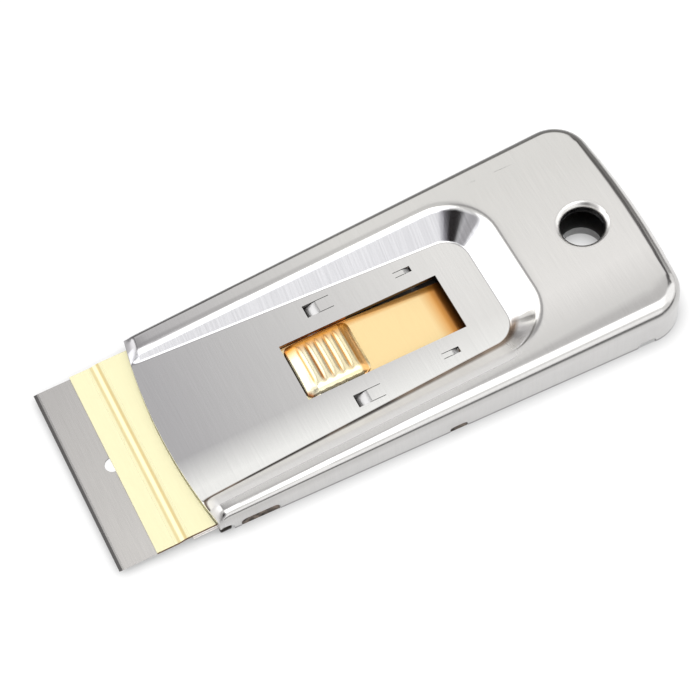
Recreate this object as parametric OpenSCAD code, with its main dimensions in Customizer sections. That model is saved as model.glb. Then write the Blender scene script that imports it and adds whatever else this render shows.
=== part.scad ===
// Retractable single-edge razor blade scraper: a stamped steel handle shell closed by a
// back plate, and a sliding blade carrier with a ribbed thumb pad.
// Stations are distances u from the cutting edge towards the back of the handle, in mm.
// The far side is +Y, the scraper lies on z = 0, and the whole part is centred on X.

/* [Razor blade] */
// Length of the cutting edge
blade_len = 38.1; // [30:0.1:50]
// Width of the blade from its edge to the back of its spine
blade_w = 19.05; // [17.5:0.05:20.5]
// Thickness of the blade
blade_t = 0.23; // [0.2:0.01:0.3]
// Width of the ground bevel
bevel_w = 0.9; // [0.5:0.1:1.5]
// Diameter of the round hole in the middle of the blade
blade_hole_d = 2.8; // [2:0.1:4]
// Width of the folded spine
spine_w = 5.5; // [4:0.1:6.2]
// Thickness of the strip that the spine is folded from
spine_wall = 0.35; // [0.25:0.01:0.45]

/* [Handle shell] */
// Length of the shell from the middle of its front edge to its back end
shell_len = 93.6; // [91:0.1:110]
// Reach of the cutting edge in front of the shell with the blade out
blade_reach = 16.4; // [15:0.1:17]
// Thickness of the shell's sheet
sheet_t = 0.7; // [0.5:0.05:0.85]
// How much wider each side is at the back than at the front
shell_flare = 2.4; // [0:0.1:4]
// Height of the side rails above the recess floor at the front
rail_rise = 1.4; // [1.2:0.1:2.5]
// Height of the handle at its back end
back_h = 9.9; // [8.5:0.1:12]
// Rounding of the top edge at the front
edge_front_r = 1.6; // [1.3:0.05:1.9]
// Rounding of the top edge at the back
edge_back_r = 3.1; // [1.6:0.1:3.8]
// Width over which the flat top rolls gently down to its back edges
edge_soft = 2.6; // [1.5:0.1:3]
// Radius of the back corners in plan
corner_r = 7.1; // [5.5:0.1:9]
// Radius of the gently curved back end in plan
back_bow_r = 150; // [80:5:300]
// How far the middle of the front edge bows forward
front_bow = 1.9; // [0.5:0.1:3]
// Length over which the rails roll down to the front edge
nose_len = 2.0; // [1.2:0.1:3]

/* [Thumb recess] */
// Width of the recess at the top of its walls
recess_w = 35.1; // [31:0.1:36]
// Distance from the back end of the handle to the recess
recess_back = 23.4; // [20:0.1:26]
// Corner radius of the recess at the top of its walls
recess_corner_r = 10.4; // [9:0.1:11.5]
// Slope of the recess walls from the floor, in degrees
recess_slope = 42; // [38:1:50]
// Rounding at the top of the recess walls
recess_edge_r = 2.8; // [1.6:0.05:3.2]
// Width over which the flat top rolls gently down to the recess at its back
recess_soft = 2.0; // [1.2:0.1:2.4]
// Rounding at the foot of the recess walls
recess_foot_r = 0.8; // [0.4:0.05:1.1]
// Distance from the window to the back end of the handle
window_back = 37.1; // [36:0.1:41]
// Width of the window
window_w = 12; // [10:0.1:14]
// Distance from the middle of the front edge to the window
window_setback = 25.6; // [24:0.1:27]

/* [Lanced tabs] */
// Length of the front tabs
stop_tab_len = 4.9; // [4:0.1:6]
// Width of the front tabs
stop_tab_w = 2.6; // [1.5:0.1:3]
// How far the free end of a front tab is bent down
stop_tab_drop = 1.2; // [0.9:0.05:1.3]
// Distance between the centres of the two front tabs
stop_tab_pitch = 20.4; // [20:0.1:21]
// Distance from the window's back end to the free end of the rear tabs
rear_tab_from = 3.5; // [2:0.1:5]
// Length of the rear tabs
rear_tab_len = 3.0; // [2:0.1:4]
// Width of the rear tabs
rear_tab_w = 1.2; // [0.8:0.1:1.6]
// How far the free end of a rear tab is bent down
rear_tab_drop = 0.45; // [0.3:0.05:0.7]
// Distance between the centres of the two rear tabs
rear_tab_pitch = 18.8; // [17:0.1:20]

/* [Hang hole] */
// Diameter of the hang hole
hang_d = 8; // [6:0.1:9]
// Distance from the back end to the centre of the hang hole
hang_setback = 10.7; // [10:0.1:12]
// Width of the hang hole's rolled lip
hang_lip = 0.85; // [0.6:0.05:1]
// Depth of the collar below the top of the handle
hang_collar = 2.2; // [1.6:0.1:3]
// Height of the collar around the hole in the back plate
plate_collar = 2.0; // [1.2:0.1:2.6]

/* [Back plate] */
// Thickness of the back plate
plate_t = 0.5; // [0.4:0.05:0.7]
// Distance of the plate's front edge behind the shell's front edge
plate_setback = 0.6; // [0.3:0.1:2]
// Length of the front ear that locks into the skirt
front_ear_len = 7.0; // [5:0.1:9]
// Height of the front ear
front_ear_h = 1.7; // [1:0.1:2]
// Length of the middle and back ears
small_ear_len = 3.2; // [2:0.1:4]
// Height of the middle and back ears
small_ear_h = 1.2; // [0.9:0.1:1.8]

/* [Blade carrier] */
// Thickness of the carrier's sheet
carrier_t = 0.5; // [0.4:0.05:0.6]
// Width of blade that shows in front of the carrier
blade_show = 7.0; // [6:0.1:8]
// Length of the carrier's wide head behind the blade
head_len = 11.95; // [10:0.05:13]
// Length of the step up over the spine
jog_len = 1.2; // [0.8:0.1:1.6]
// Width of the tongue under the window
tongue_w = 11.8; // [9:0.1:12]
// Thickness of the lower leaf that clamps the blade
clamp_t = 0.3; // [0.2:0.05:0.4]
// Diameter of the rivets' shanks
rivet_d = 2.4; // [1.8:0.1:3]
// Diameter of the rivets' heads
rivet_head_d = 4.0; // [3.4:0.1:5]
// Distance between the two rivets
rivet_pitch = 22; // [16:0.5:26]

/* [Thumb pad] */
// Length of the pad
pad_len = 12.6; // [11:0.1:13]
// Width of the pad
pad_w = 11.4; // [9:0.1:11.6]
// Height of the pad's crown above the tongue
pad_h = 1.9; // [1.5:0.1:2.4]
// How much lower the crown is where the pad's sides begin to round down
pad_crown = 0.35; // [0.2:0.05:0.6]
// Rounding of the pad's sides
pad_side_r = 1.6; // [1.2:0.05:1.8]
// Number of ribs across the pad
rib_count = 5; // [4:1:6]
// Height of the ribs
rib_h = 0.35; // [0.2:0.05:0.5]
// Thickness of the pad's sheet
pad_t = 0.5; // [0.35:0.05:0.6]

/* [Hidden] */
$fn = 64;
// Overrun of cuts
cut_over = 1;

// Clearances
slide_gap = 0.3;
head_margin = 0.15;
run_gap = 0.1;
seat_gap = 0.02;
plate_gap = 0.1;
ear_gap = 0.12;
pad_gap = 0.15;
rivet_gap = 0.05;
stop_gap = 0.4;
tab_gap = 0.12;
tip_gap = 0.3;

// Heights, stacked up from the back plate
clamp_z = plate_t + run_gap;
spine_z = clamp_z + clamp_t;
spine_t = blade_t + 2 * (spine_wall + seat_gap);
blade_z = spine_z + spine_wall + seat_gap;
lip_z = blade_z + blade_t;
carrier_z = spine_z + spine_t + seat_gap;
head_room = 0.9;
floor_h = carrier_z + carrier_t + head_room + sheet_t;
floor_under = floor_h - sheet_t;
front_h = floor_h + rail_rise;

// Stations along the handle
u_apex = blade_reach;
u_corner = u_apex + front_bow;
u_back = u_apex + shell_len;
x_edge = -u_back / 2;
u_window = u_apex + window_setback;
u_window_end = u_back - window_back;
window_len = u_window_end - u_window;
u_pad = u_window + pad_gap;
u_pad_end = u_pad + pad_len;
travel = window_len - pad_len - 2 * pad_gap;
u_head_end = blade_w + head_len;
u_stop_tab = u_head_end + travel + stop_gap;
u_rear_tab = u_window_end - rear_tab_from;
u_hang = u_back - hang_setback;
u_recess_end = u_back - recess_back;

// Plan of the shell
front_half = blade_len / 2 + head_margin + slide_gap + sheet_t;
flare_slope = shell_flare / (u_back - u_corner);
flare_angle = atan(flare_slope);
recess_half = recess_w / 2;
function along(u) = (u - u_corner) / (u_back - u_corner);
function half_w(u) = front_half + shell_flare * along(u);
function top_h(u) = front_h + (back_h - front_h) * along(u);
function edge_r(u) = edge_front_r + (edge_back_r - edge_front_r) * along(u);
function front_u(y) = u_apex + front_bow * pow(y / front_half, 2);
top_angle = atan((back_h - front_h) / (u_back - u_corner));

// Centre of a back corner: it touches the flared side and lies inside the bowed back end
u_bow = u_back - back_bow_r;
corner_c0 = half_w(u_bow) - corner_r / cos(flare_angle);
corner_reach = back_bow_r - corner_r;
corner_k2 = 1 + pow(flare_slope, 2);
corner_disc = corner_k2 * pow(corner_reach, 2) - pow(corner_c0, 2);
corner_v = (sqrt(corner_disc) - flare_slope * corner_c0) / corner_k2;
corner_y = corner_c0 + flare_slope * corner_v;
u_round = u_bow + corner_v;
bow_end = atan2(corner_y, corner_v);

// Stations of one side of the shell, from the front edge to the middle of the back end.
// Each is [outline point, inward normal, recess point, inward normal, distance from front,
// width of the gentle roll at the outline, width of the gentle roll at the recess]
soft_turn = 9;
side_edge_soft = 0.4;
side_recess_soft = 0.9;
nose_shares = [0, 0.12, 0.28, 0.5, 0.75, 1];
side_shares = [0.35, 0.7];
corner_steps = 12;
back_steps = 3;
bow_fade = 10;
u_recess_round = u_recess_end - recess_corner_r;
recess_corner_y = recess_half - recess_corner_r;
u_nose_end = u_corner + nose_len;
function side_station(u) =
    [[u, half_w(u)], [0, -1], [u, recess_half], [0, -1], u - u_corner,
     side_edge_soft, side_recess_soft];
function corner_station(k) =
    let (share = k / corner_steps,
         a = (90 + flare_angle) * (1 - share) + bow_end * share,
         b = 90 * (1 - share))
    [[u_round + corner_r * cos(a), corner_y + corner_r * sin(a)], [-cos(a), -sin(a)],
     [u_recess_round + recess_corner_r * cos(b), recess_corner_y + recess_corner_r * sin(b)],
     [-cos(b), -sin(b)], shell_len,
     edge_soft, side_recess_soft + (recess_soft - side_recess_soft) * pow(share, 2)];
function back_station(k) =
    let (share = k / back_steps, a = bow_end * (1 - share))
    [[u_bow + back_bow_r * cos(a), back_bow_r * sin(a)], [-cos(a), -sin(a)],
     [u_recess_end, recess_corner_y * (1 - share)], [-1, 0], shell_len, edge_soft, recess_soft];
half_stations = concat(
    [for (s = nose_shares) side_station(u_corner + s * nose_len)],
    [for (s = side_shares) side_station(u_nose_end + s * (u_recess_round - u_nose_end))],
    [for (k = [0 : corner_steps]) corner_station(k)],
    [for (k = [1 : back_steps]) back_station(k)]);
half_count = len(half_stations);
station_count = 2 * half_count - 1;

// Section of the shell at a station, d inside its outer skin
edge_steps = 7;
soft_steps = 3;
wall_steps = 5;
foot_steps = 4;
edge_tilts = concat([for (k = [0 : edge_steps]) 90 - (90 - soft_turn) * k / edge_steps],
                    [for (k = [1 : soft_steps]) soft_turn * (1 - k / soft_steps)]);
wall_tilts = concat([for (k = [0 : soft_steps]) soft_turn * k / soft_steps],
                    [for (k = [1 : wall_steps]) soft_turn + (recess_slope - soft_turn) * k / wall_steps]);
foot_angles = [for (k = [0 : foot_steps]) recess_slope * (1 - k / foot_steps)];
bend_r = recess_edge_r + recess_foot_r;
function soft_r(width) = width / sin(soft_turn);
function soft_drop(width) = (soft_r(width) - recess_edge_r) * (1 - cos(soft_turn));
function wall_run(u, width) =
    bend_r * sin(recess_slope)
    + (top_h(u) - soft_drop(width) - floor_h - bend_r * (1 - cos(recess_slope))) / tan(recess_slope);
function nose(z, d, front) =
    z <= floor_h - d || front >= nose_len ? z
    : floor_h - d + (z - floor_h + d) * sin(90 * front / nose_len);
function bowed(u, y, front) =
    u + (front_u(y) - u_corner) * max(0, 1 - front / bow_fade);
function placed(p, z, d, front) =
    [bowed(p[0], p[1], front), p[1], nose(z, d, front)];
function edge_in(s, tilt, d) =
    let (r = edge_r(s[0][0]), soft = soft_r(s[5]))
    tilt < soft_turn ? r + (soft - r) * sin(soft_turn) - (soft - d) * sin(tilt)
    : r - (r - d) * sin(tilt);
function edge_down(s, tilt, d) =
    let (r = edge_r(s[0][0]), soft = soft_r(s[5]))
    tilt < soft_turn ? soft - (soft - d) * cos(tilt)
    : soft - (soft - r) * cos(soft_turn) - (r - d) * cos(tilt);
function edge_point(s, tilt, d) =
    let (p = s[0] + edge_in(s, tilt, d) * s[1])
    placed(p, top_h(p[0]) - edge_down(s, tilt, d), d, s[4]);
function wall_in(s, tilt, d) =
    let (r = recess_edge_r, soft = soft_r(s[6]))
    tilt < soft_turn ? (soft - d) * sin(tilt) - (soft - r) * sin(soft_turn) : (r - d) * sin(tilt);
function wall_down(s, tilt, d) =
    let (r = recess_edge_r, soft = soft_r(s[6]))
    tilt < soft_turn ? soft - (soft - d) * cos(tilt) : soft_drop(s[6]) + r - (r - d) * cos(tilt);
function wall_point(s, tilt, d) =
    let (p = s[2] + wall_in(s, tilt, d) * s[3])
    placed(p, top_h(s[2][0]) - wall_down(s, tilt, d), d, s[4]);
function foot_point(s, angle, d) =
    let (r = recess_foot_r, p = s[2] + (wall_run(s[2][0], s[6]) - (r + d) * sin(angle)) * s[3])
    placed(p, floor_h + r - (r + d) * cos(angle), d, s[4]);
function section(s, d) = concat(
    [placed(s[0] + d * s[1], 0, d, s[4])],
    [for (a = edge_tilts) edge_point(s, a, d)],
    [for (a = wall_tilts) wall_point(s, a, d)],
    [for (a = foot_angles) foot_point(s, a, d)]);
function mirrored(points) = [for (p = points) [p[0], -p[1], p[2]]];
function skin(d) = concat(
    [for (k = [0 : half_count - 1]) mirrored(section(half_stations[k], d))],
    [for (k = [half_count - 2 : -1 : 0]) section(half_stations[k], d)]);
section_count = 1 + len(edge_tilts) + len(wall_tilts) + len(foot_angles);

// Front edge of the recess floor, between the feet of the two recess walls
front_steps = 12;
front_foot = recess_half - wall_run(u_corner, side_recess_soft);
function front_edge(d) =
    [for (k = [1 : front_steps - 1])
        let (y = front_foot * (2 * k / front_steps - 1)) [front_u(y), y, floor_h - d]];

// Steel sheet of the shell as one closed skin: outer points, inner points, front edge points
skin_points = concat([for (row = skin(0)) each row], [for (row = skin(sheet_t)) each row],
                     front_edge(0), front_edge(sheet_t));
skin_size = station_count * section_count;
last_station = station_count - 1;
last_point = section_count - 1;
function at(i, j, inner) = (inner ? skin_size : 0) + i * section_count + j;
function on_front(k, inner) =
    k == 0 ? at(0, last_point, inner)
    : k == front_steps ? at(last_station, last_point, inner)
    : 2 * skin_size + (inner ? front_steps - 1 : 0) + k - 1;
function two(a, b, c, d) = [[a, c, b], [a, d, c]];
function flip(faces) = [for (f = faces) [f[0], f[2], f[1]]];
front_middle = front_steps / 2;
function floor_ring(inner) = concat(
    [for (k = [front_middle - 1 : -1 : 1]) on_front(k, inner)],
    [for (i = [0 : last_station]) at(i, last_point, inner)],
    [for (k = [front_steps - 1 : -1 : front_middle + 1]) on_front(k, inner)]);
function skin_faces(inner) = concat(
    [for (i = [0 : last_station - 1]) for (j = [0 : last_point - 1])
        each two(at(i, j, inner), at(i + 1, j, inner), at(i + 1, j + 1, inner), at(i, j + 1, inner))],
    let (ring = floor_ring(inner))
        [for (k = [0 : len(ring) - 2]) [on_front(front_middle, inner), ring[k + 1], ring[k]]]);
rim_faces = concat(
    [for (i = [0 : last_station - 1])
        each two(at(i + 1, 0, false), at(i, 0, false), at(i, 0, true), at(i + 1, 0, true))],
    [for (j = [0 : last_point - 1])
        each two(at(0, j, false), at(0, j + 1, false), at(0, j + 1, true), at(0, j, true))],
    [for (j = [0 : last_point - 1])
        each two(at(last_station, j + 1, false), at(last_station, j, false),
                 at(last_station, j, true), at(last_station, j + 1, true))],
    [for (k = [0 : front_steps - 1])
        each two(on_front(k, false), on_front(k + 1, false), on_front(k + 1, true), on_front(k, true))]);

// Ears of the back plate and the notches that they lock into, as [station, length, height]
front_ear_from = 9.3;
middle_ear_share = 0.5;
back_ear_from = 10;
ears = [[u_apex + front_ear_from, front_ear_len, front_ear_h],
        [u_apex + shell_len * middle_ear_share, small_ear_len, small_ear_h],
        [u_back - back_ear_from, small_ear_len, small_ear_h]];
ear_round_share = 0.6;
corner_notch_len = 2.8;
corner_notch_h = 1.9;
corner_notch_from = 3.0;
ear_inset = 0.08;

// Lower leaf and rivets
clamp_jog = 1.0;
clamp_margin = 0.6;
clamp_end_gap = 0.8;
u_spine = blade_w - spine_w;
u_raise = u_spine - (jog_len - seat_gap);
clamp_step = blade_w + 2 * run_gap;
clamp_top_z = carrier_z - clamp_t;
clamp_half = blade_len / 2 - clamp_margin;
rivet_head_h = 0.3;
u_rivet = (clamp_step + clamp_jog + u_head_end - clamp_end_gap) / 2;

// Side view of the carrier's sheet: underside as [station, height]
head_half = blade_len / 2 + head_margin;
head_corner_r = 2.5;
neck_r = 2.0;
tongue_under_gap = 0.15;
tongue_z = floor_under - tongue_under_gap - carrier_t;
ramp_lead = 1.2;
tail_lead = 0.6;
tail_end_lead = 2.2;
tail_bend = 2.2;
tail_low = 0.6;
tail_z = plate_t + tail_low;
carrier_line = [
    [blade_show, lip_z],
    [u_raise - jog_len, lip_z],
    [u_raise, carrier_z],
    [u_head_end, carrier_z],
    [u_pad - ramp_lead, tongue_z],
    [u_pad_end + tail_lead, tongue_z],
    [u_window_end, tail_z],
    [u_window_end + tail_bend, plate_t + run_gap / 2]];
bend_reach = 0.5;
bend_share = 0.4;
bend_steps = 4;
function curve(a, p, b, w) = (1 - w) * (1 - w) * a + 2 * (1 - w) * w * p + w * w * b;
function bend(a, p, b) =
    let (reach = min(bend_reach, bend_share * norm(a - p), bend_share * norm(b - p)),
         from = p + reach * (a - p) / norm(a - p),
         to = p + reach * (b - p) / norm(b - p))
    [for (k = [0 : bend_steps]) curve(from, p, to, k / bend_steps)];
function rounded(line) = concat(
    [line[0]],
    [for (k = [1 : len(line) - 2]) each bend(line[k - 1], line[k], line[k + 1])],
    [line[len(line) - 1]]);

// Pad: a pressed sheet with ribs across its crown. Its grid runs along and across the pad
pad_z = tongue_z + carrier_t;
pad_front_slope = 2.2;
pad_back_slope = 1.7;
pad_corner_r = 1.6;
pad_edge_h = 0.25;
pad_roof_low = 0.06;
pad_flat_half = pad_w / 2 - pad_side_r;
side_turn_share = 0.95;
rib_steps = 8;
slope_steps = 6;
rib_from = u_pad + pad_front_slope;
rib_end = u_pad_end - pad_back_slope;
rib_pitch = (rib_end - rib_from) / rib_count;
rib_stations = rib_count * rib_steps;
pad_stations = concat(
    [for (k = [0 : slope_steps - 1]) u_pad + pad_front_slope * (1 - cos(90 * k / slope_steps))],
    [for (k = [0 : rib_stations]) rib_from + rib_pitch * k / rib_steps],
    [for (k = [slope_steps - 1 : -1 : 0]) u_pad_end - pad_back_slope * (1 - cos(90 * k / slope_steps))]);
pad_shares = [-1, -0.985, -0.955, -0.91, -0.85, -0.78, -0.68, -0.5, -0.25,
              0, 0.25, 0.5, 0.68, 0.78, 0.85, 0.91, 0.955, 0.985, 1];
function corner_in(d, r) = d >= r ? 0 : r - sqrt(r * r - (r - d) * (r - d));
function pad_half(u) = pad_w / 2 - corner_in(min(u - u_pad, u_pad_end - u), pad_corner_r);
function side_drop(y) =
    let (t = side_turn_share * max(0, abs(y) - pad_flat_half) / pad_side_r)
    pad_crown * pow(y / pad_flat_half, 2) + pad_side_r * (1 - sqrt(1 - t * t));
function pad_rise(u) =
    u < rib_from ? sin(90 * (u - u_pad) / pad_front_slope)
    : u > rib_end ? sin(90 * (u_pad_end - u) / pad_back_slope) : 1;
function rib_cut(u) =
    u < rib_from || u > rib_end ? rib_h * pad_rise(u)
    : rib_h * (1 - abs(sin(180 * (u - rib_from) / rib_pitch)));
function pad_top(u, y, cut) =
    pad_edge_h + max(0, pad_h - pad_edge_h - side_drop(y)) * pad_rise(u) - cut;
function pad_inside(u) = u_pad + pad_t + (u - u_pad) * (pad_len - 2 * pad_t) / pad_len;
function pad_outer(u, share) =
    let (y = share * pad_half(u)) [u, y, pad_z + max(pad_edge_h / 2, pad_top(u, y, rib_cut(u)))];
function pad_inner(u, share) =
    let (v = pad_inside(u), y = share * (pad_half(u) - pad_t))
    [v, y, pad_z + max(pad_roof_low, pad_top(v, y, rib_h) - pad_t)];
pad_rows = len(pad_stations);
pad_cols = len(pad_shares);
pad_size = pad_rows * pad_cols;
pad_ring = concat(
    [for (j = [0 : pad_cols - 1]) j],
    [for (i = [1 : pad_rows - 1]) i * pad_cols + pad_cols - 1],
    [for (j = [pad_cols - 2 : -1 : 0]) (pad_rows - 1) * pad_cols + j],
    [for (i = [pad_rows - 2 : -1 : 1]) i * pad_cols]);
ring_size = len(pad_ring);
pad_outer_points = [for (u = pad_stations) for (s = pad_shares) pad_outer(u, s)];
pad_inner_points = [for (u = pad_stations) for (s = pad_shares) pad_inner(u, s)];
function at_foot(p) = [p[0], p[1], pad_z];
pad_points = concat(pad_outer_points, pad_inner_points,
                    [for (k = pad_ring) at_foot(pad_outer_points[k])],
                    [for (k = pad_ring) at_foot(pad_inner_points[k])]);
function pad_skin(first) =
    [for (i = [0 : pad_rows - 2]) for (j = [0 : pad_cols - 2])
        let (k = first + i * pad_cols + j)
        each two(k, k + 1, k + pad_cols + 1, k + pad_cols)];
function pad_wall(first, foot) =
    [for (k = [0 : ring_size - 1])
        let (n = (k + 1) % ring_size)
        each two(first + pad_ring[n], first + pad_ring[k], foot + k, foot + n)];
outer_foot = 2 * pad_size;
inner_foot = outer_foot + ring_size;
pad_rim = [for (k = [0 : ring_size - 1])
              let (n = (k + 1) % ring_size)
              each two(outer_foot + n, outer_foot + k, inner_foot + k, inner_foot + n)];
pad_faces = concat(pad_skin(0), pad_wall(0, outer_foot), pad_rim,
                   flip(pad_skin(pad_size)), flip(pad_wall(pad_size, inner_foot)));

// Moves a piece modelled along u into the centred frame
module along_handle() { translate([x_edge, 0, 0]) children(); }

// Turns a drawing in u and z into a slab across the handle
module across(width) {
    translate([0, width / 2, 0]) rotate([90, 0, 0]) linear_extrude(width) children();
}

// Puts a drawing in u and z on the outer face of a flared side wall, at station u
module on_side(u, side, inset, depth) {
    translate([u, side * half_w(u), 0])
        rotate([0, 0, side * flare_angle])
            translate([0, side > 0 ? -inset : inset + depth, 0])
                rotate([90, 0, 0]) linear_extrude(depth) children();
}

// Rectangle with its four corners rounded, centred
module rounded_rect(length, width, r) {
    square([length - 2 * r, width], center = true);
    square([length, width - 2 * r], center = true);
    for (sx = [-1, 1]) for (sy = [-1, 1])
        translate([sx * (length / 2 - r), sy * (width / 2 - r)]) circle(r);
}

// Arch standing on the bottom edge of the skirt
module arch(length, height) {
    r = min(height * ear_round_share, length / 2);
    translate([-length / 2, -cut_over]) square([length, height - r + cut_over]);
    translate([r - length / 2, 0]) square([length - 2 * r, height]);
    for (s = [-1, 1]) translate([s * (length / 2 - r), height - r]) circle(r);
}

// Sheet of even height above an underside line
module bent_sheet(under, thickness) {
    polygon(concat(under, [for (k = [len(under) - 1 : -1 : 0]) under[k] + [0, thickness]]));
}

// Tab cut free on three sides; its outer half, from bend_u to tip_u, is pushed down
tab_bend_share = 0.5;
tab_shares = [[0, 0], [0.35, 0.2], [0.7, 0.58], [1, 1]];
function tab_bend(root_u, tip_u) = root_u + tab_bend_share * (tip_u - root_u);
module lanced_tab(root_u, tip_u, y, width, drop) {
    bend_u = tab_bend(root_u, tip_u);
    under = [for (s = tab_shares) [bend_u + s[0] * (tip_u - bend_u), floor_under - s[1] * drop]];
    inside = [bend_u + sign(root_u - tip_u) * tab_gap, floor_under];
    translate([0, y, 0]) across(width - 2 * tab_gap) bent_sheet(concat([inside], under), sheet_t);
}

module lance_slot(root_u, tip_u, y, width) {
    bend_u = tab_bend(root_u, tip_u);
    end_u = tip_u + sign(tip_u - root_u) * tip_gap;
    slot_h = sheet_t + 2 * cut_over;
    translate([min(bend_u, end_u), y - width / 2, floor_under - cut_over])
        cube([abs(end_u - bend_u), width, slot_h]);
    for (s = [0, 1])
        translate([min(root_u, end_u), y - width / 2 + s * (width - tab_gap), floor_under - cut_over])
            cube([abs(end_u - root_u), tab_gap, slot_h]);
}

// Rounds the rim of the hang hole over into its collar, square to the sloping top.
// The round meets both the top and the bore at a small angle, lip_turn
lip_turn = 22;
lip_round = hang_lip / (cos(lip_turn) - sin(lip_turn));
lip_in = lip_round * cos(lip_turn);
module lip_cutter() {
    translate([u_hang, 0, top_h(u_hang)]) rotate([0, -top_angle, 0]) rotate_extrude()
        difference() {
            translate([0, -lip_in]) square([hang_d / 2 + lip_in, lip_in + cut_over]);
            translate([hang_d / 2 + lip_in, -lip_in]) circle(lip_round);
        }
}

module hang_bore() {
    translate([u_hang, 0, -cut_over]) cylinder(d = hang_d, h = back_h + 2 * cut_over);
}

module handle_shell() {
    color("gainsboro") along_handle() {
        difference() {
            union() {
                polyhedron(skin_points, concat(skin_faces(false), flip(skin_faces(true)), rim_faces));
                translate([u_hang, 0, top_h(u_hang) - hang_collar])
                    cylinder(r = hang_d / 2 + sheet_t, h = hang_collar - sheet_t / 2);
            }
            hang_bore();
            lip_cutter();
            translate([u_window, -window_w / 2, floor_under - cut_over])
                cube([window_len, window_w, sheet_t + 2 * cut_over]);
            for (s = [-1, 1]) {
                lance_slot(u_stop_tab + stop_tab_len, u_stop_tab, s * stop_tab_pitch / 2, stop_tab_w);
                lance_slot(u_rear_tab - rear_tab_len, u_rear_tab, s * rear_tab_pitch / 2, rear_tab_w);
                for (e = ears)
                    on_side(e[0], s, -cut_over, sheet_t + 2 * cut_over)
                        arch(e[1] + 2 * ear_gap, e[2] + ear_gap);
                on_side(u_apex + corner_notch_from, s, -cut_over, sheet_t + 2 * cut_over)
                    arch(corner_notch_len, corner_notch_h);
            }
        }
        for (s = [-1, 1]) {
            lanced_tab(u_stop_tab + stop_tab_len, u_stop_tab, s * stop_tab_pitch / 2,
                       stop_tab_w, stop_tab_drop);
            lanced_tab(u_rear_tab - rear_tab_len, u_rear_tab, s * rear_tab_pitch / 2,
                       rear_tab_w, rear_tab_drop);
        }
    }
}

// Outline of the back plate: the skirt's outline moved in, with a bowed front edge
plate_in = sheet_t + plate_gap;
plate_side = [for (k = [len(nose_shares) : half_count - 1])
                 half_stations[k][0] + plate_in * half_stations[k][1]];
plate_front_half = half_w(u_corner + plate_setback) - plate_in;
plate_front = [for (k = [0 : front_steps])
                  let (y = plate_front_half * (1 - 2 * k / front_steps))
                  [front_u(y) + plate_setback, y]];

module back_plate() {
    color("darkgray") along_handle() {
        difference() {
            union() {
                linear_extrude(plate_t)
                    polygon(concat(plate_front,
                                   [for (p = plate_side) [p[0], -p[1]]],
                                   [for (k = [len(plate_side) - 2 : -1 : 0]) plate_side[k]]));
                translate([u_hang, 0, 0]) cylinder(r = hang_d / 2 + plate_t, h = plate_collar);
            }
            hang_bore();
        }
        for (s = [-1, 1]) for (e = ears) {
            on_side(e[0], s, ear_inset, sheet_t - 2 * ear_inset)
                intersection() {
                    arch(e[1], e[2]);
                    translate([-e[1] / 2, 0]) square([e[1], e[2]]);
                }
            on_side(e[0], s, ear_inset, plate_in + plate_t)
                translate([-e[1] / 2, 0]) square([e[1], plate_t]);
        }
    }
}

// Plan of the carrier: a wide head over the blade and a tongue that runs under the window
module carrier_plan() {
    u_tail = u_window_end + tail_bend;
    translate([blade_show, -head_half])
        square([u_head_end - head_corner_r - blade_show, 2 * head_half]);
    translate([u_head_end - 2 * head_corner_r, head_corner_r - head_half])
        square([2 * head_corner_r, 2 * (head_half - head_corner_r)]);
    for (s = [-1, 1])
        translate([u_head_end - head_corner_r, s * (head_half - head_corner_r)]) circle(head_corner_r);
    translate([u_head_end - neck_r, -tongue_w / 2]) square([u_tail - u_head_end + neck_r, tongue_w]);
    for (s = [-1, 1]) difference() {
        translate([u_head_end - neck_r, s * (tongue_w + neck_r) / 2 - neck_r / 2])
            square([2 * neck_r, neck_r]);
        translate([u_head_end + neck_r, s * (tongue_w / 2 + neck_r)]) circle(neck_r);
    }
}

module rivet_holes() {
    for (s = [-1, 1])
        translate([u_rivet, s * rivet_pitch / 2, 0])
            cylinder(d = rivet_d + 2 * rivet_gap, h = floor_h);
}

module blade_carrier() {
    color("khaki") along_handle() difference() {
        intersection() {
            across(2 * head_half) bent_sheet(rounded(carrier_line), carrier_t);
            linear_extrude(floor_h) carrier_plan();
        }
        rivet_holes();
    }
}

module thumb_pad() {
    color("gold") along_handle() polyhedron(pad_points, pad_faces);
}

module blade_clamp() {
    color("lightslategray") along_handle() difference() {
        across(2 * clamp_half)
            bent_sheet([[u_spine, clamp_z], [clamp_step, clamp_z], [clamp_step + clamp_jog, clamp_top_z],
                        [u_head_end - clamp_end_gap, clamp_top_z]], clamp_t);
        rivet_holes();
    }
}

module carrier_rivets() {
    color("silver") along_handle() for (s = [-1, 1]) translate([u_rivet, s * rivet_pitch / 2, 0]) {
        translate([0, 0, clamp_top_z]) cylinder(d = rivet_d, h = clamp_t + carrier_t);
        translate([0, 0, carrier_z + carrier_t]) cylinder(d = rivet_head_d, h = rivet_head_h);
        translate([0, 0, clamp_top_z - rivet_head_h]) cylinder(d = rivet_head_d, h = rivet_head_h);
    }
}

module razor_blade() {
    color("slategray") along_handle() difference() {
        across(blade_len)
            polygon([[0, blade_z + blade_t / 2], [bevel_w, blade_z],
                     [blade_w - spine_wall - seat_gap, blade_z],
                     [blade_w - spine_wall - seat_gap, blade_z + blade_t], [bevel_w, blade_z + blade_t]]);
        translate([blade_show, 0, 0]) cylinder(d = blade_hole_d, h = floor_h);
    }
}

module blade_spine() {
    fold_r = spine_t / 2;
    color("lightgray") along_handle() across(blade_len) difference() {
        union() {
            translate([u_spine, spine_z]) square([spine_w - fold_r, spine_t]);
            translate([blade_w - fold_r, spine_z + fold_r]) circle(fold_r);
        }
        translate([u_spine - cut_over, spine_z + spine_wall])
            square([spine_w - spine_wall + cut_over, blade_t + 2 * seat_gap]);
    }
}

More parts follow.
